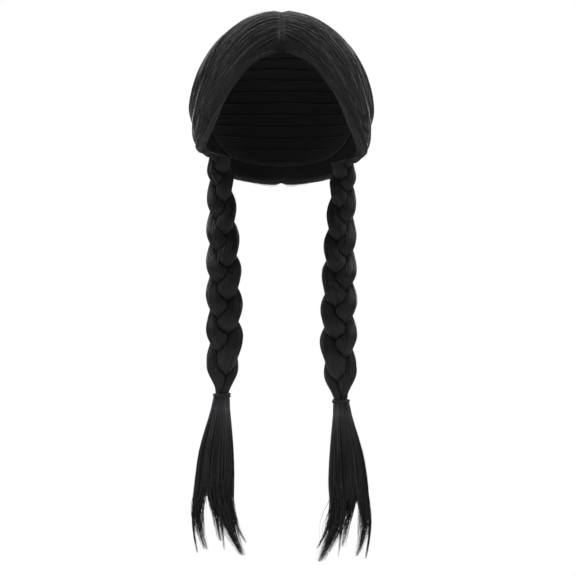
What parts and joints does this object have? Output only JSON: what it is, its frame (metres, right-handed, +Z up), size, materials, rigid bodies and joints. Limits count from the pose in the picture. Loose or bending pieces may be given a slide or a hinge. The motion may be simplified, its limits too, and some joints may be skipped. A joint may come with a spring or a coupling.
{
  "type": "braided pigtail wig",
  "caption": "Centre-parted wig on a close cap, with smooth hair swept back into long plaited pigtails tied near the ends with loose tails below.",
  "frame": {"origin": "where the top of the head touches the inside of the cap", "axes": "+Z up along the head, the face opening looks along -Y, the wearer's left is +X"},
  "size_m": [0.1776, 0.1831, 0.5253],
  "materials": {
    "hair": "black heat-resistant synthetic fibre, combed smooth, satin sheen",
    "elastic": "black covered elastic, matt",
    "cap_net": "black stretch net, matt"
  },
  "bodies": {
    "root": {"wig_cap": "cap_net", "front_hair_left": "hair", "front_hair_right": "hair", "back_hair_left": "hair", "back_hair_right": "hair", "braid_left_strand_1": "hair", "braid_left_strand_2": "hair", "braid_left_strand_3": "hair", "braid_right_strand_1": "hair", "braid_right_strand_2": "hair", "braid_right_strand_3": "hair", "tail_left": "hair", "tail_right": "hair", "hair_tie_left": "elastic", "hair_tie_right": "elastic"}
  },
  "joints": []
}
